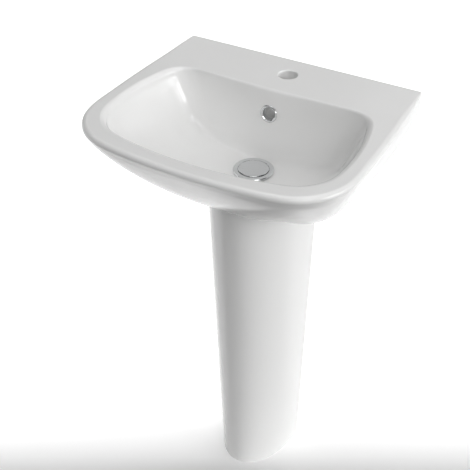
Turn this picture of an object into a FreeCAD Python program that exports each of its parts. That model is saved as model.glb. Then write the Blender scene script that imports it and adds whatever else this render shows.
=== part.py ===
import FreeCAD, Part
import math
import os

# Pedestal sink.  Millimetres.  +Z up, floor at z = 0, +Y towards the wall, +X to the right.
# The origin lies on the floor, below the middle of the deck.

V = FreeCAD.Vector
UP = V(0, 0, 1)

# ---- overall sizes -------------------------------------------------------------------------
DECK = 870.0            # height of the deck above the floor
WALL = 219.0            # y of the wall plane
HALF_BACK = 240.0       # half the width of the deck at the wall
REACH = 438.0           # wall to the front of the rim
SIDE_FLARE = 5.6        # degrees by which the sides open out from the wall
SIDE_R = 3100.0         # slow curve of the sides
CORNER_R = 114.0        # big front corners
FRONT_R = 960.0         # bowed front
RIM_R = 8.5             # rounding of the rim's edge
BACK_EDGE_R = 3.0       # the same edge where it meets the wall
PAST_WALL = 4.0         # castings are shaped this far past the wall plane, then ground flat

# ---- bowl ----------------------------------------------------------------------------------
LIP_R = 12.0            # rounding between deck and bowl
BACK_LIP_R = 7.0        # the same at the bowl's back edge
BOWL_BACK = 119.0       # wall to the bowl's back edge
BOWL_FRONT = 412.0      # wall to the bowl's front edge
BOWL_HALF = 229.5       # half the bowl's width
BOWL_WIDEST = 271.0     # wall to the widest place of the bowl
BOWL_SIDE_R = 385.0
BOWL_BACK_R = 49.5
BOWL_CORNER_R = 88.0
BOWL_FRONT_R = 623.0
WASTE_IN = 187.5        # wall to the waste's axis
SEAT_DEPTH = 138.0      # deck to the glazed seat of the waste
SEAT_R = 40.0
FLOOR_RISE = 17.0       # the funnel floor rises this much over this run
FLOOR_RUN = 125.0
BACK_LEAN = 13.0        # how far the walls lean in by LEAN_DROP
SIDE_LEAN = 52.0
FRONT_LEAN = 92.0
LEAN_DROP = 122.0

# ---- underside and pedestal ----------------------------------------------------------------
CHINA = 10.0            # wall of the castings
JOINT = 165.0           # deck to the joint with the pedestal
TOP_HALF = 96.5         # pedestal's half width at the joint
FOOT_HALF = 78.0
TOP_CENTRE = 126.3      # wall to the middle of the pedestal's ellipse
FOOT_CENTRE = 115.0
TOP_DEPTH = 157.7       # from there to its front
FOOT_DEPTH = 133.0
PED_BACK = 108.0        # wall to the pedestal's open back
PED_WALL = 12.0
LUG_X = 54.0            # screw lugs in the foot
LUG_INNER = 40.0
LUG_DEPTH = 32.0
LUG_HEIGHT = 16.0
BAR_LOW = 150.0         # cross-bar that ties the open back
BED = 3.0               # bedding strip between pedestal and basin

BACK_PANEL = 12.0
DECK_PLATE = 13.0
FLOOR_PLATE = 8.0       # ring of china around the joint with the pedestal
REAR_HALF = 75.0        # opening at the back for the pipes
REAR_TOP = DECK - 115
CORNERS = (0.0, 0.35, 0.68, 1.0)        # shares of the back, side, front corner and front
TOP_POWERS = (2.0, 1.02, 1.21, 1.02)    # how full the underside is there, near the rim
LOW_POWERS = (2.6, 3.65, 1.39, 1.25)    # and near the joint
WALL_POWER = 6.0                        # how long the underside stays on the wall

TAP_IN = 57.0
TAP_R = 17.5
OVERFLOW_DROP = 46.0
OVERFLOW_R = 13.6
BOLT_DROP = 70.0
BOLT_X = 140.0

BOSS_BOTTOM = 690.0     # underside of the boss around the waste
DUCT_BOTTOM = 698.0     # overflow duct behind the bowl
DUCT_Y = WALL - 107
SEAT = DECK - SEAT_DEPTH

WASTE_Y = WALL - WASTE_IN
MID_Y = WALL - 190.0    # centre that the outlines are drawn around


def at(x, y, z):
    return V(x, y, z)


def tube(r_out, r_in, z0, z1, x=0.0, y=None):
    y = WASTE_Y if y is None else y
    body = Part.makeCylinder(r_out, z1 - z0, at(x, y, z0), UP)
    if r_in > 0:
        body = body.cut(Part.makeCylinder(r_in, z1 - z0, at(x, y, z0), UP))
    return body


def turned(profile, x=0.0, y=None):
    """Body of revolution from (radius, height) pairs about a vertical axis."""
    y = WASTE_Y if y is None else y
    points = [at(x + r, y, z) for r, z in profile]
    face = Part.Face(Part.makePolygon(points + points[:1]))
    return face.revolve(at(x, y, 0), UP, 360)


def box(x0, x1, y0, y1, z0, z1):
    return Part.makeBox(x1 - x0, y1 - y0, z1 - z0, at(x0, y0, z0))


# ---- outlines, in the plan plane, as distances from a centre along a ray ----------------------

def nested(c1, r1, c2, r2, r, side):
    """Centre of the circle of radius r that touches two bigger circles from inside."""
    dx = c2[0] - c1[0]
    dy = c2[1] - c1[1]
    gap = math.hypot(dx, dy)
    d1 = r1 - r
    d2 = r2 - r
    along = (d1 * d1 - d2 * d2 + gap * gap) / (2 * gap)
    off = side * math.sqrt(d1 * d1 - along * along)
    return (c1[0] + (dx * along - dy * off) / gap, c1[1] + (dy * along + dx * off) / gap)


def touch(big, small):
    """Direction in which two nested circles touch."""
    return math.atan2(small[1] - big[1], small[0] - big[0])


def on_circle(centre, radius, angle):
    return (centre[0] + radius * math.cos(angle), centre[1] + radius * math.sin(angle))


def ray_hit(origin, angle, centre, radius):
    dx = origin[0] - centre[0]
    dy = origin[1] - centre[1]
    b = dx * math.cos(angle) + dy * math.sin(angle)
    return -b + math.sqrt(b * b - dx * dx - dy * dy + radius * radius)


def bearing(origin, point):
    return math.atan2(point[1] - origin[1], point[0] - origin[0])


SIDE_C = (HALF_BACK - SIDE_R * math.cos(math.radians(SIDE_FLARE)),
          WALL - SIDE_R * math.sin(math.radians(SIDE_FLARE)))
FRONT_C = (0.0, WALL - REACH + FRONT_R)
CORNER_C = nested(SIDE_C, SIDE_R, FRONT_C, FRONT_R, CORNER_R, -1)
RIM_O = (0.0, MID_Y)
RIM_TURNS = (bearing(RIM_O, on_circle(SIDE_C, SIDE_R, touch(SIDE_C, CORNER_C))),
             bearing(RIM_O, on_circle(FRONT_C, FRONT_R, touch(FRONT_C, CORNER_C))))
RIM_START = bearing(RIM_O, (HALF_BACK, WALL))


def rim_point(share):
    """Right half of the rim, share 0 at the wall to 1 at the middle of the front."""
    angle = RIM_START + (-math.pi / 2 - RIM_START) * share
    if angle > RIM_TURNS[0]:
        reach = ray_hit(RIM_O, angle, SIDE_C, SIDE_R)
    elif angle > RIM_TURNS[1]:
        reach = ray_hit(RIM_O, angle, CORNER_C, CORNER_R)
    else:
        reach = ray_hit(RIM_O, angle, FRONT_C, FRONT_R)
    return (reach * math.cos(angle), MID_Y + reach * math.sin(angle))


BOWL_O = (0.0, WASTE_Y)
BACK_LINE = WALL - BOWL_BACK
BSIDE_C = (BOWL_HALF - BOWL_SIDE_R, WALL - BOWL_WIDEST)
BFRONT_C = (0.0, WALL - BOWL_FRONT + BOWL_FRONT_R)
BCORNER_C = nested(BSIDE_C, BOWL_SIDE_R, BFRONT_C, BOWL_FRONT_R, BOWL_CORNER_R, -1)


def back_corner():
    y = BACK_LINE - BOWL_BACK_R
    dy = y - BSIDE_C[1]
    d = BOWL_SIDE_R - BOWL_BACK_R
    return (BSIDE_C[0] + math.sqrt(d * d - dy * dy), y)


BBACK_C = back_corner()
BOWL_TURNS = (bearing(BOWL_O, (BBACK_C[0], BACK_LINE)),
              bearing(BOWL_O, on_circle(BSIDE_C, BOWL_SIDE_R, touch(BSIDE_C, BBACK_C))),
              bearing(BOWL_O, on_circle(BSIDE_C, BOWL_SIDE_R, touch(BSIDE_C, BCORNER_C))),
              bearing(BOWL_O, on_circle(BFRONT_C, BOWL_FRONT_R, touch(BFRONT_C, BCORNER_C))))


def bowl_reach(angle):
    """Distance from the waste's axis to the bowl's edge, for a ray at this angle."""
    a = math.atan2(math.sin(angle), abs(math.cos(angle)))
    if a > BOWL_TURNS[0]:
        return (BACK_LINE - WASTE_Y) / math.sin(a)
    if a > BOWL_TURNS[1]:
        return ray_hit(BOWL_O, a, BBACK_C, BOWL_BACK_R)
    if a > BOWL_TURNS[2]:
        return ray_hit(BOWL_O, a, BSIDE_C, BOWL_SIDE_R)
    if a > BOWL_TURNS[3]:
        return ray_hit(BOWL_O, a, BCORNER_C, BOWL_CORNER_R)
    return ray_hit(BOWL_O, a, BFRONT_C, BOWL_FRONT_R)


# ---- basin -----------------------------------------------------------------------------------

def smooth(x):
    x = min(max(x, 0.0), 1.0)
    return x * x * (3 - 2 * x)


def pedestal_ellipse(drop, grow=0.0):
    """Half width, middle and depth of the pedestal's section at this drop below the deck."""
    k = (drop - JOINT) / (DECK - JOINT)
    half = TOP_HALF + (FOOT_HALF - TOP_HALF) * k + grow
    centre = WALL - (TOP_CENTRE + (FOOT_CENTRE - TOP_CENTRE) * k)
    depth = TOP_DEPTH + (FOOT_DEPTH - TOP_DEPTH) * k + grow
    return half, centre, depth


def pedestal_point(share, drop, grow=0.0, back=0.0):
    """Right half of the pedestal's section, share 0 at its back edge to 1 at its front."""
    half, centre, depth = pedestal_ellipse(drop, grow)
    edge = WALL - PED_BACK + back
    start = -math.asin((edge - centre) / depth)
    angle = start + (math.pi / 2 - start) * share
    return (half * math.cos(angle), centre - depth * math.sin(angle))


def rim_normal(share):
    """Outward direction of the rim; square to the wall's corner at share 0."""
    if share == 0:
        return (1.0, 0.0)
    step = 0.002
    before = rim_point(max(share - step, 0.0))
    after = rim_point(min(share + step, 1.0))
    dx = after[0] - before[0]
    dy = after[1] - before[1]
    length = math.hypot(dx, dy)
    if share == 1:
        return (0.0, -1.0)
    return (-dy / length, dx / length)


def rim_radius(share):
    return BACK_EDGE_R + (RIM_R - BACK_EDGE_R) * smooth(share / 0.12)


def blended(share, values):
    """Value at this share, eased between those at the back, side, front corner and front."""
    for k in range(len(CORNERS) - 1):
        if share <= CORNERS[k + 1]:
            ease = smooth((share - CORNERS[k]) / (CORNERS[k + 1] - CORNERS[k]))
            return values[k] + (values[k + 1] - values[k]) * ease
    return values[-1]


def body_point(share, turn):
    """Underside at this share of the half outline: a superellipse from rim (turn 0) to joint (turn 90)."""
    angle = math.radians(turn)
    down = math.sin(angle) ** (2 / blended(share, TOP_POWERS))
    across = 1 - max(math.cos(angle), 0.0) ** (2 / blended(share, LOW_POWERS))
    leaving = 1 - (1 - down ** WALL_POWER) ** (1 / WALL_POWER)
    at_back = smooth(1 - share / CORNERS[1])
    along = leaving * at_back + across * (1 - at_back)
    rim = rim_point(share)
    foot = pedestal_point(share, JOINT, BED)
    r = rim_radius(share)
    return at(rim[0] + (foot[0] - rim[0]) * across, rim[1] + (foot[1] - rim[1]) * along,
              DECK - r - down * (JOINT - r))


SHARES = [i / 16.0 for i in range(17)]
TURNS = [6, 14, 23, 32, 41, 50, 59, 68, 76, 84, 90]


def whole_row(half):
    """Right half of a row and its mirror image, from wall to front to wall."""
    return half + [V(-p.x, p.y, p.z) for p in reversed(half[:-1])]


def past_wall(points, leaving=0.0):
    """Move a half row's first point past the wall plane, as far as the shape still touches the wall."""
    x, y, z = points[0]
    x -= PAST_WALL * math.tan(math.radians(SIDE_FLARE))
    return [at(x, y + PAST_WALL * (1 - leaving), z)] + points[1:]


def rounded_row(angle):
    row = []
    for share in SHARES:
        r = rim_radius(share)
        x, y = rim_point(share)
        nx, ny = rim_normal(share)
        inset = r * (1 - math.sin(angle))
        row.append(at(x - nx * inset, y - ny * inset, DECK - r * (1 - math.cos(angle))))
    return whole_row(past_wall(row))


def outer_rows():
    rows = [rounded_row(math.radians(a)) for a in (0, 12, 32, 60, 90)]
    for turn in TURNS:
        half = [body_point(share, turn) for share in SHARES]
        rows.append(whole_row(past_wall(half, (WALL - half[0].y) / PED_BACK)))
    return rows


def inner_rows():
    """The same shape one wall further in: the hollow under the deck."""
    rows = []
    top = DECK - DECK_PLATE
    for turn in TURNS[1:]:
        edge = body_point(0, turn).y - BACK_PANEL
        half = []
        for share in SHARES:
            p = body_point(share, turn)
            k = 1 - CHINA / math.hypot(p.x, p.y - MID_Y)
            lift = FLOOR_PLATE * (DECK - p.z) / JOINT
            half.append(at(p.x * k, min(MID_Y + (p.y - MID_Y) * k, edge), min(p.z + lift, top)))
        if turn == TURNS[1]:
            half = [at(p.x, p.y, top) for p in half]
        rows.append(whole_row(half))
    return rows


def open_wire(points):
    curve = Part.BSplineCurve()
    curve.interpolate(points)
    return Part.Wire(curve.toShape())


def edge_through(face, points):
    """The boundary edge of a face that runs through these points."""
    def miss(edge):
        return sum(edge.distToShape(Part.Vertex(p))[0] for p in points)
    return min(face.Edges, key=miss)


def skinned_body(rows, hole=None, extra=()):
    """Solid between the first and last row, with a ruled back from side to side."""
    skin = Part.makeLoft([open_wire(row) for row in rows], False, False).Faces[0]
    count = len(rows[0])
    top = edge_through(skin, rows[0][1:count - 1:4])
    bottom = edge_through(skin, rows[-1][1:count - 1:4])
    right = edge_through(skin, [row[0] for row in rows])
    left = edge_through(skin, [row[-1] for row in rows])
    lid_wire = Part.Wire([top, Part.makeLine(rows[0][-1], rows[0][0])])
    lid = Part.Face([lid_wire, hole]) if hole else Part.Face(lid_wire)
    base = Part.Face(Part.Wire([bottom, Part.makeLine(rows[-1][-1], rows[-1][0])]))
    back = Part.makeRuledSurface(right, left)
    shell = Part.makeShell([skin, lid, base] + back.Faces + list(extra))
    shell.sewShape()
    solid = Part.makeSolid(shell.Shells[0])
    if solid.Volume < 0:
        solid.reverse()
    return solid


def even_bearings(count):
    """Bearings around the waste that step evenly along the bowl's edge, from its back."""
    fine = 1440
    angles = [math.pi / 2 + 2 * math.pi * i / fine for i in range(fine + 1)]
    spots = [(bowl_reach(a) * math.cos(a), bowl_reach(a) * math.sin(a)) for a in angles]
    run = [0.0]
    for p, q in zip(spots, spots[1:]):
        run.append(run[-1] + math.hypot(q[0] - p[0], q[1] - p[1]))
    picked = []
    i = 0
    for k in range(count):
        while run[i + 1] < run[-1] * k / count:
            i += 1
        part = (run[-1] * k / count - run[i]) / (run[i + 1] - run[i])
        picked.append(angles[i] + part * (angles[i + 1] - angles[i]))
    return picked


STATIONS = even_bearings(56)


def lip_radius(angle):
    return LIP_R + (BACK_LIP_R - LIP_R) * smooth((math.sin(angle) - 0.1) / 0.4)


def wall_line(angle):
    """The bowl's wall along a ray: reach and drop where it leaves the lip, and its lean per drop."""
    s = math.sin(angle)
    lean = SIDE_LEAN
    if s > 0:
        lean = ((s / BACK_LEAN) ** 4 + (1 / SIDE_LEAN) ** 4) ** -0.25
    else:
        lean = SIDE_LEAN + (FRONT_LEAN - SIDE_LEAN) * smooth(-s)
    lip = lip_radius(angle)
    return bowl_reach(angle) - lip, lip, lean / (LEAN_DROP - lip)


def floor_drop(reach):
    """Drop of the funnel floor at this distance from the waste's axis."""
    return SEAT_DEPTH - FLOOR_RISE * (reach - SEAT_R) / FLOOR_RUN


def bowl_profile(angle, steps, grow=0.0):
    """Wall, fillet and floor along a ray, in even steps from lip to seat, as (reach, drop)."""
    edge, lip, slope = wall_line(angle)
    edge += grow
    knee = edge
    for _ in range(12):
        knee = edge - slope * (floor_drop(knee) + grow - lip)
    low = floor_drop(knee) + grow
    back = smooth(math.sin(angle))
    up = 44.0 - 22.0 * back
    room = 60.0 - 26.0 * back
    along = room * (1 - math.exp(-(knee - SEAT_R - grow) * 1.2 / room))
    height = up / math.hypot(1, slope)
    top = (knee + slope * height, low - height)
    foot = (knee - along, floor_drop(knee - along) + grow)
    line = [(edge, lip), top]
    for i in range(1, 25):
        t = i / 24.0
        w = ((1 - t) ** 2, 2 * t * (1 - t), t * t)
        line.append((top[0] * w[0] + knee * w[1] + foot[0] * w[2], top[1] * w[0] + low * w[1] + foot[1] * w[2]))
    line.append((SEAT_R, SEAT_DEPTH + grow))
    run = [0.0]
    for p, q in zip(line, line[1:]):
        run.append(run[-1] + math.hypot(q[0] - p[0], q[1] - p[1]))
    even = []
    i = 0
    for k in range(steps + 1):
        goal = run[-1] * k / steps
        while i < len(line) - 2 and run[i + 1] < goal:
            i += 1
        part = (goal - run[i]) / (run[i + 1] - run[i])
        even.append((line[i][0] + part * (line[i + 1][0] - line[i][0]),
                     line[i][1] + part * (line[i + 1][1] - line[i][1])))
    return even


def bowl_rows(stations, steps, grow=0.0):
    profiles = [bowl_profile(angle, steps, grow) for angle in stations]
    rows = []
    for k in range(steps + 1):
        rows.append([at(p[k][0] * math.cos(a), WASTE_Y + p[k][0] * math.sin(a), DECK - p[k][1])
                     for a, p in zip(stations, profiles)])
    return rows


def lip_row(angle):
    points = []
    for a in STATIONS:
        lip = lip_radius(a)
        r = bowl_reach(a) - lip * math.sin(angle)
        points.append(at(r * math.cos(a), WASTE_Y + r * math.sin(a), DECK - lip * (1 - math.cos(angle))))
    return points


def ring_wire(points):
    curve = Part.BSplineCurve()
    curve.interpolate(points, PeriodicFlag=True)
    return Part.Wire(curve.toShape())


def bowl_surface():
    rows = [lip_row(math.radians(a)) for a in (0, 30, 60)]
    rows += bowl_rows(STATIONS, 15)
    return Part.makeLoft([ring_wire(row) for row in rows], False, False)


def bowl_underside():
    """Solid that the bowl and its wall fill below the deck."""
    rows = bowl_rows(even_bearings(36), 8, CHINA)
    top = [at(p.x, p.y, DECK) for p in rows[0]]
    return Part.makeLoft([ring_wire(row) for row in [top] + rows], True, False)


def ring_at(shape, z):
    """Closed edge of a shape that lies at this height."""
    edges = [e for e in shape.Edges if abs(e.BoundBox.ZMin - z) < 0.01 and abs(e.BoundBox.ZMax - z) < 0.01]
    return Part.Wire(edges[:1])


def back_wall_y(drop):
    """y of the bowl's back wall, on the middle line, at this drop below the deck."""
    edge, lip, slope = wall_line(math.pi / 2)
    return WASTE_Y + edge - slope * (drop - lip)


TILT = math.degrees(math.atan(wall_line(math.pi / 2)[2]))


def overflow_turned(shape):
    """Move a shape built along +Z at the origin to the overflow hole, +Z pointing into the bowl."""
    shape = shape.copy()
    shape.rotate(V(0, 0, 0), V(1, 0, 0), 90 - TILT)
    shape.translate(at(0, back_wall_y(OVERFLOW_DROP), DECK - OVERFLOW_DROP))
    return shape


def drilled(x, y, z, r, length):
    """Cylinder along +Y."""
    return Part.makeCylinder(r, length, at(x, y, z), V(0, 1, 0))


def basin():
    bowl = bowl_surface()
    seat = Part.Face(ring_at(bowl, DECK - SEAT_DEPTH))
    block = skinned_body(outer_rows(), ring_at(bowl, DECK), bowl.Faces + [seat])
    block = block.cut(box(-400, 400, WALL, WALL + 50, 0, DECK + 100))
    duct = box(-19, 19, DUCT_Y - 24, DUCT_Y, DUCT_BOTTOM, DECK - 28)
    elbow = box(-19, 19, WASTE_Y, DUCT_Y, DUCT_BOTTOM, DUCT_BOTTOM + 27)
    boss = Part.makeCylinder(36, SEAT - 2 - BOSS_BOTTOM, at(0, WASTE_Y, BOSS_BOTTOM), UP)
    tap_boss = Part.makeCylinder(32, 9, at(0, WALL - TAP_IN, DECK - 20), UP)
    filled = [bowl_underside(), duct, elbow, boss, tap_boss]
    hollow = skinned_body(inner_rows())
    mouth = section_prism(DECK - JOINT, -CHINA - 4, 30.0, DECK - JOINT - 1, DECK - JOINT + FLOOR_PLATE + 1)
    rear = box(-REAR_HALF, REAR_HALF, WALL - PED_BACK - 6, WALL + 5, DECK - JOINT - 1, REAR_TOP)
    hollow = hollow.multiFuse([mouth, rear])
    body = block
    for half in (box(0, 400, -400, 400, 0, 2 * DECK), box(-400, 0, -400, 400, 0, 2 * DECK)):
        part = hollow.common(half)
        for solid in filled:
            part = part.cut(solid.common(half))
        body = body.cut(part)
    body = body.fuse(boss.fuse(elbow))
    channel = box(-13, 13, DUCT_Y - 22, DUCT_Y - 6, DUCT_BOTTOM + 6, DECK - 34)
    channel = channel.fuse(box(-13, 13, WASTE_Y, DUCT_Y - 6, DUCT_BOTTOM + 6, DUCT_BOTTOM + 21))
    waste_hole = Part.makeCylinder(22.5, 60, at(0, WASTE_Y, BOSS_BOTTOM - 1), UP)
    tap_hole = Part.makeCylinder(TAP_R, 40, at(0, WALL - TAP_IN, DECK - 30), UP)
    soft = Part.makeCylinder(TAP_R + 2.5, 3.0, at(0, WALL - TAP_IN, DECK - 2.5), UP)
    soft = soft.cut(Part.makeTorus(TAP_R + 2.5, 2.5, at(0, WALL - TAP_IN, DECK - 2.5), UP))
    overflow = overflow_turned(Part.makeCylinder(OVERFLOW_R, 30, V(0, 0, -14), UP))
    bolts = [drilled(side * BOLT_X, WALL - 20, DECK - BOLT_DROP, 8.0, 25) for side in (-1, 1)]
    for tool in [channel, waste_hole, tap_hole, soft, overflow] + bolts:
        body = body.cut(tool)
    return body


# ---- pedestal --------------------------------------------------------------------------------

def section_wire(height, grow, past):
    """Half-ellipse section of the pedestal at this height, closed across its back."""
    half, centre, depth = pedestal_ellipse(DECK - height, grow)
    edge = WALL - PED_BACK + past
    start = math.asin((edge - centre) / depth)
    ellipse = Part.Ellipse(at(0, centre + depth, height), at(half, centre, height), at(0, centre, height))
    arc = Part.ArcOfEllipse(ellipse, math.pi / 2 - start, 3 * math.pi / 2 + start).toShape()
    ends = [arc.valueAt(arc.LastParameter), arc.valueAt(arc.FirstParameter)]
    return Part.Wire([arc, Part.makeLine(*ends)])


def section_prism(height, grow, past, z0, z1):
    face = Part.Face(section_wire(height, grow, past))
    face.translate(V(0, 0, z0 - height))
    return face.extrude(V(0, 0, z1 - z0))


def pedestal():
    """Open-backed column with two screw lugs inside its foot."""
    top = DECK - JOINT - BED
    outer = Part.makeLoft([section_wire(top, 0, 0), section_wire(0, 0, 0)], True, True)
    wall = -PED_WALL
    inner = Part.makeLoft([section_wire(top + 5, wall, 20), section_wire(-5, wall, 20)], True, True)
    column = outer.cut(inner)
    edge = WALL - PED_BACK
    lugs = box(-100, 100, edge - LUG_DEPTH, edge, 0, LUG_HEIGHT)
    lugs = lugs.cut(box(-LUG_INNER, LUG_INNER, edge - 60, edge + 1, -1, LUG_HEIGHT + 1))
    bar = box(-100, 100, edge - 10, edge, BAR_LOW, BAR_LOW + 36)
    column = column.fuse(outer.common(lugs.fuse(bar)))
    for side in (-1, 1):
        hole = Part.makeCylinder(6.1, LUG_HEIGHT + 2, at(side * LUG_X, edge - LUG_DEPTH / 2, -1), UP)
        column = column.cut(hole)
    return column.removeSplitter()


def pedestal_bedding():
    """Soft strip that beds the basin on the pedestal."""
    top = DECK - JOINT - BED
    strip = section_prism(top, -1.0, -1.0, top, top + BED)
    return strip.cut(section_prism(top, 1.0 - PED_WALL, 20, top - 1, top + BED + 1))


def floor_sleeves():
    """Two nylon sleeves that line the screw holes of the foot."""
    y = WALL - PED_BACK - LUG_DEPTH / 2
    one = turned([(3.3, 1), (5.8, 1), (5.8, LUG_HEIGHT), (9, LUG_HEIGHT), (9, LUG_HEIGHT + 2),
                  (3.3, LUG_HEIGHT + 2)], LUG_X, y)
    return Part.makeCompound([one, one.mirror(V(0, 0, 0), V(1, 0, 0))])


def wall_sleeves():
    """Two nylon sleeves that line the bolt holes of the back panel."""
    solids = []
    for side in (-1, 1):
        x = side * BOLT_X
        z = DECK - BOLT_DROP
        inner = WALL - BACK_PANEL
        sleeve = drilled(x, inner - 4.2, z, 12, 3).fuse(drilled(x, inner - 1.4, z, 7.7, BACK_PANEL + 1.4))
        solids.append(sleeve.cut(drilled(x, inner - 5, z, 5.3, 30)))
    return Part.makeCompound(solids)


def overflow_ring():
    """Pressed trim ring with a short collar that sits in the overflow hole."""
    profile = [(12.2, -9), (13.2, -9), (13.2, 0.6), (16.5, 0.6), (16.5, 1.6), (15.9, 2.4), (15.0, 2.7),
               (13.6, 2.6), (12.2, 1.6)]
    return overflow_turned(turned(profile, 0, 0))


# ---- click waste -----------------------------------------------------------------------------
# Heights are measured up from the seat in the bowl floor.

SPRING_LOW = SEAT - 32.5
SPRING_TOP = SPRING_LOW + 5.0
STEM_R = 2.5
TAIL = 78.0             # seat to the lower end of the threaded tail


def waste_body():
    """Flange, threaded tail with overflow slots, and the cross-bar that carries the cartridge."""
    profile = [(17.5, -TAIL), (20.8, -TAIL), (20.8, 1.5), (37.0, 1.5), (37.9, 2.4), (37.9, 4.0),
               (37.0, 5.0), (29.6, 5.0), (29.0, 4.4), (29.0, 2.9), (17.5, 2.9)]
    body = turned([(r, SEAT + z) for r, z in profile])
    for k in range(4):
        slot = box(-5, 5, WASTE_Y + 15, WASTE_Y + 25, SEAT - 31, SEAT - 13)
        slot.rotate(at(0, WASTE_Y, 0), UP, 90 * k + 45)
        body = body.cut(slot)
    bars = box(-18.5, 18.5, WASTE_Y - 1.5, WASTE_Y + 1.5, SEAT - 16, SEAT - 12)
    bars = bars.fuse(box(-1.5, 1.5, WASTE_Y - 18.5, WASTE_Y + 18.5, SEAT - 16, SEAT - 12))
    hub = tube(7.5, 4.6, SEAT - 17, SEAT - 12)
    core = Part.makeCylinder(4.6, 10, at(0, WASTE_Y, SEAT - 19), UP)
    return body.fuse(bars.cut(core)).fuse(hub)


def click_cartridge():
    """Guide sleeve: closed spring chamber below the cross-bar, neck screwed through its hub."""
    return turned([(0, SEAT - 34), (6.4, SEAT - 34), (6.4, SEAT - 17), (4.3, SEAT - 17),
                   (4.3, SEAT - 11), (STEM_R + 0.05, SEAT - 11), (STEM_R + 0.05, SEAT - 17.5),
                   (4.2, SEAT - 17.5), (4.2, SEAT - 32.5), (0, SEAT - 32.5)])


def click_spring():
    """Push-up spring, drawn in its compressed length under the stem's foot."""
    wire = 0.4
    low = SEAT - 32.5 + wire
    helix = Part.makeHelix(1.15, SPRING_TOP - SPRING_LOW - 2 * wire, 3.3)
    circle = Part.Wire(Part.makeCircle(wire, V(3.3, 0, 0), V(0, 1, 0)))
    coil = Part.Wire(helix.Edges).makePipeShell([circle], True, True)
    coil.translate(at(0, WASTE_Y, low))
    return coil


def plug_stem():
    """Rod that slides in the cartridge, with the foot that stops it at the top of its travel."""
    return turned([(0, SPRING_TOP), (3.8, SPRING_TOP), (3.8, SPRING_TOP + 2), (STEM_R, SPRING_TOP + 2),
                   (STEM_R, SEAT + 3.5), (0, SEAT + 3.5)])


def waste_plug():
    """Cap of the waste with its lightly domed top and the boss that takes the stem."""
    profile = [(0, 3.5), (STEM_R + 0.02, 3.5), (STEM_R + 0.02, -4.0), (6.0, -4.0), (6.0, 3.0), (18.7, 3.0), (18.7, 4.1),
               (27.4, 4.1), (28.1, 4.6), (28.1, 5.4), (27.3, 6.0), (20.0, 6.4), (10.0, 6.6), (0, 6.7)]
    return turned([(r, SEAT + z) for r, z in profile])


def plug_seal():
    return tube(26.0, 19.0, SEAT + 2.9, SEAT + 4.1)


def waste_top_seal():
    return tube(33.0, 21.4, SEAT, SEAT + 1.5)


def waste_bottom_seal():
    """Tapered rubber washer under the boss."""
    top = BOSS_BOTTOM
    return turned([(21.1, top - 6), (30, top - 6), (30, top - 4), (27, top), (21.1, top)])


def waste_slip_washer():
    return tube(31.0, 21.1, BOSS_BOTTOM - 7.5, BOSS_BOTTOM - 6)


def waste_back_nut():
    """Flanged six-sided nut that clamps the waste to the bowl."""
    top = BOSS_BOTTOM - 7.5
    corners = [at(28.5 * math.cos(math.radians(60 * k)), WASTE_Y + 28.5 * math.sin(math.radians(60 * k)),
                  top - 10) for k in range(7)]
    nut = Part.Face(Part.makePolygon(corners)).extrude(V(0, 0, 8))
    nut = nut.fuse(tube(30.5, 0, top - 2.5, top))
    return nut.cut(Part.makeCylinder(21.1, 14, at(0, WASTE_Y, top - 12), UP)).removeSplitter()


# ---- bottle trap -----------------------------------------------------------------------------

TAIL_END = SEAT - TAIL
OUTLET_Z = TAIL_END - 44
OUTLET_R = 16.0
SPIGOT_R = 15.5         # the pipe's end inside the trap


def ribbed_ring(r_out, r_in, lip_r, lip, length, ribs):
    """Union nut along +Z from the origin: a thin lip at the bottom, grip ribs around the outside."""
    nut = Part.makeCylinder(r_out - 1.5, length)
    rib = Part.makeBox(3.0, 4.0, length - 2, V(r_out - 3.0, -2.0, 1.0))
    solids = []
    for k in range(ribs):
        turned_rib = rib.copy()
        turned_rib.rotate(V(0, 0, 0), UP, 360.0 * k / ribs)
        solids.append(turned_rib)
    nut = nut.multiFuse(solids)
    nut = nut.cut(Part.makeCylinder(r_in, length, V(0, 0, lip)))
    return nut.cut(Part.makeCylinder(lip_r, length, V(0, 0, -1)))


def trap_inlet_nut():
    nut = ribbed_ring(28.5, 21.1, 18.6, 3.0, 20.0, 12)
    nut.translate(at(0, WASTE_Y, TAIL_END - 8.5))
    return nut


def trap_inlet_seal():
    return tube(20.6, 17.6, TAIL_END - 2.2, TAIL_END)


def trap_body():
    """Head of the bottle trap: inlet collar on top, side outlet, threaded skirt for the cup."""
    collar = TAIL_END - 5.2
    head = OUTLET_Z + 22
    body = turned([(16, TAIL_END - 2.2), (20.6, TAIL_END - 2.2), (20.6, collar), (18.3, collar),
                   (18.3, head), (34, head), (34, head - 40), (31, head - 40), (31, head - 56),
                   (28, head - 56), (28, head - 3.5), (14.4, head - 3.5), (14.4, head - 0.5), (16, head - 0.5)])
    outlet = drilled(0, WASTE_Y + 24, OUTLET_Z, 17.9, 36).fuse(drilled(0, WASTE_Y + 42, OUTLET_Z, 20.8, 18))
    bore = drilled(0, WASTE_Y, OUTLET_Z, OUTLET_R + 0.4, 70)
    skirt = Part.makeCylinder(28, 60, at(0, WASTE_Y, head - 63.5), UP)
    return body.fuse(outlet.cut(skirt)).cut(bore)


def trap_dip_tube():
    """Tube that leads the water down into the cup and leaves a water seal."""
    head = OUTLET_Z + 22
    return turned([(12.2, head - 128), (13.9, head - 128), (13.9, head - 0.5), (15.7, head - 0.5),
                   (15.7, head + 1.5), (12.2, head + 1.5)])


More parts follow.
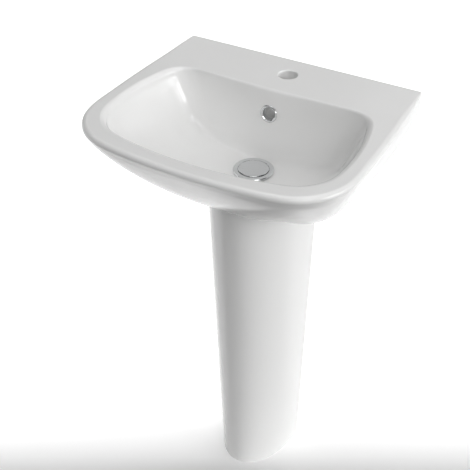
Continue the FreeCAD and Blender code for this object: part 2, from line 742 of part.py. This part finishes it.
def trap_cup():
    """Cup with a smooth rounded floor and grip ribs; it screws up over the skirt."""
    rim = OUTLET_Z - 19.8
    cup = turned([(0, rim - 106), (20, rim - 106), (30, rim - 102), (33, rim - 94), (33, rim - 30),
                  (34.8, rim - 26), (34.8, rim), (31.3, rim), (31.3, rim - 17), (29.8, rim - 20),
                  (29.8, rim - 92), (27, rim - 99), (18, rim - 103), (0, rim - 103)])
    rib = Part.makeBox(3.2, 5.0, 20, V(33.2, -2.5, rim - 23))
    ribs = []
    for k in range(10):
        one = rib.copy()
        one.rotate(V(0, 0, 0), UP, 36 * k)
        one.translate(at(0, WASTE_Y, 0))
        ribs.append(one)
    return cup.multiFuse(ribs)


def trap_cup_seal():
    rim = OUTLET_Z - 19.8
    return tube(33.8, 31.2, rim, rim + 1.8)


def along_wall(shape, y):
    """Turn a shape built along +Z at the origin to point to the wall, from this y."""
    shape.rotate(V(0, 0, 0), V(1, 0, 0), -90)
    shape.translate(at(0, y, OUTLET_Z))
    return shape


def trap_outlet_nut():
    nut = ribbed_ring(28.0, 21.1, 16.4, 3.0, 19.0, 12)
    nut.rotate(V(0, 0, 0), V(1, 0, 0), 180)
    return along_wall(nut, WASTE_Y + 66)


def trap_outlet_seal():
    return drilled(0, WASTE_Y + 60, OUTLET_Z, 20.6, 3).cut(drilled(0, WASTE_Y + 59, OUTLET_Z, SPIGOT_R + 0.02, 5))


def outlet_pipe():
    """Waste pipe from the trap towards the wall, eased where it goes into the trap."""
    start = WASTE_Y + 36
    free = WASTE_Y + 67
    end = WALL - 4
    pipe = drilled(0, start, OUTLET_Z, SPIGOT_R, free - start).fuse(drilled(0, free, OUTLET_Z, OUTLET_R, end - free))
    return pipe.cut(drilled(0, start - 1, OUTLET_Z, OUTLET_R - 2, end - start + 2))


PARTS = {
    "basin": basin, "pedestal": pedestal, "pedestal_bedding": pedestal_bedding,
    "floor_sleeves": floor_sleeves, "wall_sleeves": wall_sleeves, "overflow_ring": overflow_ring,
    "waste_body": waste_body, "click_cartridge": click_cartridge, "click_spring": click_spring,
    "plug_stem": plug_stem, "waste_plug": waste_plug, "plug_seal": plug_seal,
    "waste_top_seal": waste_top_seal, "waste_bottom_seal": waste_bottom_seal,
    "waste_slip_washer": waste_slip_washer, "waste_back_nut": waste_back_nut,
    "trap_inlet_nut": trap_inlet_nut, "trap_inlet_seal": trap_inlet_seal, "trap_body": trap_body,
    "trap_dip_tube": trap_dip_tube, "trap_cup": trap_cup, "trap_cup_seal": trap_cup_seal,
    "trap_outlet_nut": trap_outlet_nut, "trap_outlet_seal": trap_outlet_seal, "outlet_pipe": outlet_pipe,
}

os.makedirs("parts", exist_ok=True)
for name, build in PARTS.items():
    shape = build()
    shape.exportStep("parts/" + name + ".step")
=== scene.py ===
import bpy
import math
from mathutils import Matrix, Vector

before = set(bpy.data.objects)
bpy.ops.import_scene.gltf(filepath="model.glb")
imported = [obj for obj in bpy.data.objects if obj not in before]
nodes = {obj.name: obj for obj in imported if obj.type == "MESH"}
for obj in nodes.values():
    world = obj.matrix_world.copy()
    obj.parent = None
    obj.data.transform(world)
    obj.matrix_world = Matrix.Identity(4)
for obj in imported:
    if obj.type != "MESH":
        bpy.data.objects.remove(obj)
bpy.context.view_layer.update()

FLOOR_SIZE = 60.0
VIEW_TURN = math.radians(29.25)             # the camera stands this far round to the right
VIEW_DOWN = math.radians(36.61)
CAMERA_PLACE = (0.72369, -1.33031, 1.73112)
LENS = 76.5
AIM = Vector((0.0, 0.0, 0.78))              # the lamps point at the middle of the basin


# ---- materials -------------------------------------------------------------------------------

def new_material(name, **values):
    """Node material with its Principled sockets set, and its nodes and links."""
    made = bpy.data.materials.new(name)
    made.use_nodes = True
    tree = made.node_tree
    shader = tree.nodes["Principled BSDF"]
    for socket, value in values.items():
        shader.inputs[socket.replace("_", " ")].default_value = value
    return made, tree, shader


def add(tree, kind, **inputs):
    """New node whose inputs are linked to sockets or set to values."""
    node = tree.nodes.new(kind)
    for name, value in inputs.items():
        socket = node.inputs[name.replace("_", " ")]
        if isinstance(value, bpy.types.NodeSocket):
            tree.links.new(value, socket)
        else:
            socket.default_value = value
    return node


def noise(tree, scale, detail=2.0):
    place = add(tree, "ShaderNodeTexCoord").outputs["Object"]
    return add(tree, "ShaderNodeTexNoise", Vector=place, Scale=scale, Detail=detail).outputs["Fac"]


def ramp(tree, value, low, high, from_low=0.3, from_high=0.7):
    """value from from_low to from_high becomes low to high."""
    node = add(tree, "ShaderNodeMapRange", Value=value)
    node.inputs["From Min"].default_value = from_low
    node.inputs["From Max"].default_value = from_high
    node.inputs["To Min"].default_value = low
    node.inputs["To Max"].default_value = high
    return node.outputs["Result"]


def mixed(tree, factor, a, b):
    node = tree.nodes.new("ShaderNodeMix")
    node.data_type = "RGBA"
    tree.links.new(factor, node.inputs["Factor"])
    for socket, value in ((node.inputs["A"], a), (node.inputs["B"], b)):
        if isinstance(value, bpy.types.NodeSocket):
            tree.links.new(value, socket)
        else:
            socket.default_value = (*value, 1.0)
    return node.outputs["Result"]


def bump(tree, shader, height, strength, distance):
    node = add(tree, "ShaderNodeBump", Height=height, Strength=strength, Distance=distance)
    tree.links.new(node.outputs["Normal"], shader.inputs["Normal"])


def glaze():
    """White glaze with cloudy colour, a thin uneven film and slight ripples."""
    made, tree, shader = new_material("glazed_china", IOR=1.52, Coat_Weight=0.0)
    colour = mixed(tree, noise(tree, 7.0, 3.0), (0.80, 0.80, 0.795), (0.83, 0.83, 0.825))
    tree.links.new(colour, shader.inputs["Base Color"])
    tree.links.new(ramp(tree, noise(tree, 40.0), 0.085, 0.13), shader.inputs["Roughness"])
    bump(tree, shader, noise(tree, 55.0, 1.0), 0.08, 0.0006)
    return made


def chrome():
    made, tree, shader = new_material("chrome", Metallic=1.0)
    shader.inputs["Base Color"].default_value = (0.76, 0.77, 0.78, 1.0)
    tree.links.new(ramp(tree, noise(tree, 300.0, 3.0), 0.12, 0.22), shader.inputs["Roughness"])
    return made


def plain(name, colour, roughness, grain, strength, metallic=0.0):
    """Moulded, cut or drawn material with a fine grain of the given scale."""
    made, tree, shader = new_material(name, Metallic=metallic)
    darker = tuple(c * 0.93 for c in colour)
    tree.links.new(mixed(tree, noise(tree, grain * 0.1), darker, colour), shader.inputs["Base Color"])
    fine = noise(tree, grain, 3.0)
    tree.links.new(ramp(tree, fine, roughness - 0.05, roughness + 0.07), shader.inputs["Roughness"])
    bump(tree, shader, fine, strength, 0.0003)
    return made


china = glaze()
metal = chrome()
plastic = plain("white_polypropylene", (0.78, 0.78, 0.77), 0.28, 900.0, 0.15)
rubber = plain("black_rubber", (0.03, 0.03, 0.032), 0.6, 1200.0, 0.4)
nylon = plain("nylon", (0.72, 0.70, 0.64), 0.45, 900.0, 0.2)
steel = plain("spring_steel", (0.6, 0.6, 0.62), 0.25, 900.0, 0.1, 1.0)
sealant = plain("bedding_silicone", (0.75, 0.75, 0.73), 0.5, 500.0, 0.3)

FINISH = {
    china: ["basin", "pedestal"],
    metal: ["overflow_ring", "waste_body", "waste_plug", "plug_stem"],
    plastic: ["trap_body", "trap_dip_tube", "trap_cup", "trap_inlet_nut", "trap_outlet_nut", "outlet_pipe",
              "waste_back_nut", "waste_slip_washer", "click_cartridge"],
    rubber: ["plug_seal", "waste_top_seal", "waste_bottom_seal", "trap_inlet_seal", "trap_cup_seal",
             "trap_outlet_seal"],
    nylon: ["floor_sleeves", "wall_sleeves"],
    steel: ["click_spring"],
    sealant: ["pedestal_bedding"],
}
for material, names in FINISH.items():
    for name in names:
        mesh = nodes[name].data
        mesh.materials.clear()
        mesh.materials.append(material)


# ---- floor, light, camera --------------------------------------------------------------------

def floor():
    """Pale studio floor: a white sheet behind and below the sink that fades to grey in front of it; behind
    and under the sink it also glows, painted light that fills in the sink's shadow on the floor.
    """
    made, tree, shader = new_material("floor", Roughness=0.9)
    place = add(tree, "ShaderNodeSeparateXYZ", Vector=add(tree, "ShaderNodeTexCoord").outputs["Object"])
    across = add(tree, "ShaderNodeMath", Value=place.outputs["X"])
    across.operation = "MULTIPLY"
    across.inputs[1].default_value = -math.sin(VIEW_TURN)
    depth = tree.nodes.new("ShaderNodeMath")
    depth.operation = "MULTIPLY_ADD"
    tree.links.new(place.outputs["Y"], depth.inputs[0])
    depth.inputs[1].default_value = math.cos(VIEW_TURN)
    tree.links.new(across.outputs["Value"], depth.inputs[2])
    behind = ramp(tree, depth.outputs["Value"], 0.0, 1.0, -0.55, 0.0)
    grain = noise(tree, 3.0)
    grey = mixed(tree, grain, (0.19, 0.19, 0.19), (0.21, 0.21, 0.21))
    white = mixed(tree, grain, (0.90, 0.90, 0.90), (0.92, 0.92, 0.92))
    tree.links.new(mixed(tree, behind, grey, white), shader.inputs["Base Color"])
    shader.inputs["Emission Color"].default_value = (1, 1, 1, 1)
    # painted light: the floor glows behind and under the sink, washing out the sink's cast shadow there
    painted_glow = ramp(tree, depth.outputs["Value"], 0.0, 0.5, -0.05, 0.10)
    tree.links.new(painted_glow, shader.inputs["Emission Strength"])
    bpy.ops.mesh.primitive_plane_add(size=FLOOR_SIZE, location=(0, 0, 0))
    plane = bpy.context.object
    plane.name = "studio_floor"
    plane.data.materials.append(made)


def towards(bearing, rise):
    """Direction from the basin: 0 is the front, 90 the right, 180 the wall."""
    turn = math.radians(bearing)
    up = math.radians(rise)
    return Vector((math.sin(turn) * math.cos(up), -math.cos(turn) * math.cos(up), math.sin(up)))


def softbox(name, bearing, rise, away, width, height, share):
    """Area light seen from the basin at this bearing and rise in degrees, giving share of full white."""
    light = bpy.data.lights.new(name, "AREA")
    light.shape = "RECTANGLE"
    light.size = width
    light.size_y = height
    light.energy = math.pi ** 2 * away ** 2 * share
    lamp = bpy.data.objects.new(name, light)
    lamp.location = AIM + towards(bearing, rise) * away
    lamp.rotation_euler = towards(bearing, rise).to_track_quat("Z", "Y").to_euler()
    bpy.context.collection.objects.link(lamp)


def far_softbox(name, bearing, rise, share):
    """A large softbox far off: light that reaches everything from one side, 40 degrees wide."""
    light = bpy.data.lights.new(name, "SUN")
    light.angle = math.radians(40.0)
    light.energy = math.pi * share
    lamp = bpy.data.objects.new(name, light)
    lamp.location = AIM + towards(bearing, rise) * 8.0
    lamp.rotation_euler = towards(bearing, rise).to_track_quat("Z", "Y").to_euler()
    bpy.context.collection.objects.link(lamp)


floor()
far_softbox("key", 90, 12, 0.37)
far_softbox("right_front", 42, 36, 0.32)
far_softbox("overhead", 0, 90, 0.185)
far_softbox("right", 110, 12, 0.13)
far_softbox("back_top", 180, 65, 0.135)
far_softbox("left_front", 315, 45, 0.045)
far_softbox("front", 0, 38, 0.07)
far_softbox("back_low", 200, 12, 0.045)
far_softbox("back", 180, 38, 0.043)
far_softbox("left_back", 245, 58, 0.075)
softbox("strip", 80, 12, 4.0, 1.3, 0.5, 0.08)

world = bpy.data.worlds.new("studio")
world.use_nodes = True
world.node_tree.nodes["Background"].inputs["Color"].default_value = (1, 1, 1, 1)
world.node_tree.nodes["Background"].inputs["Strength"].default_value = 0.02
bpy.context.scene.world = world
bpy.context.scene.view_settings.view_transform = "Standard"

lens = bpy.data.cameras.new("camera")
lens.sensor_width = 36.0
lens.lens = LENS
camera = bpy.data.objects.new("camera", lens)
camera.location = CAMERA_PLACE
camera.rotation_euler = (math.pi / 2 - VIEW_DOWN, 0, VIEW_TURN)
bpy.context.collection.objects.link(camera)
bpy.context.scene.camera = camera
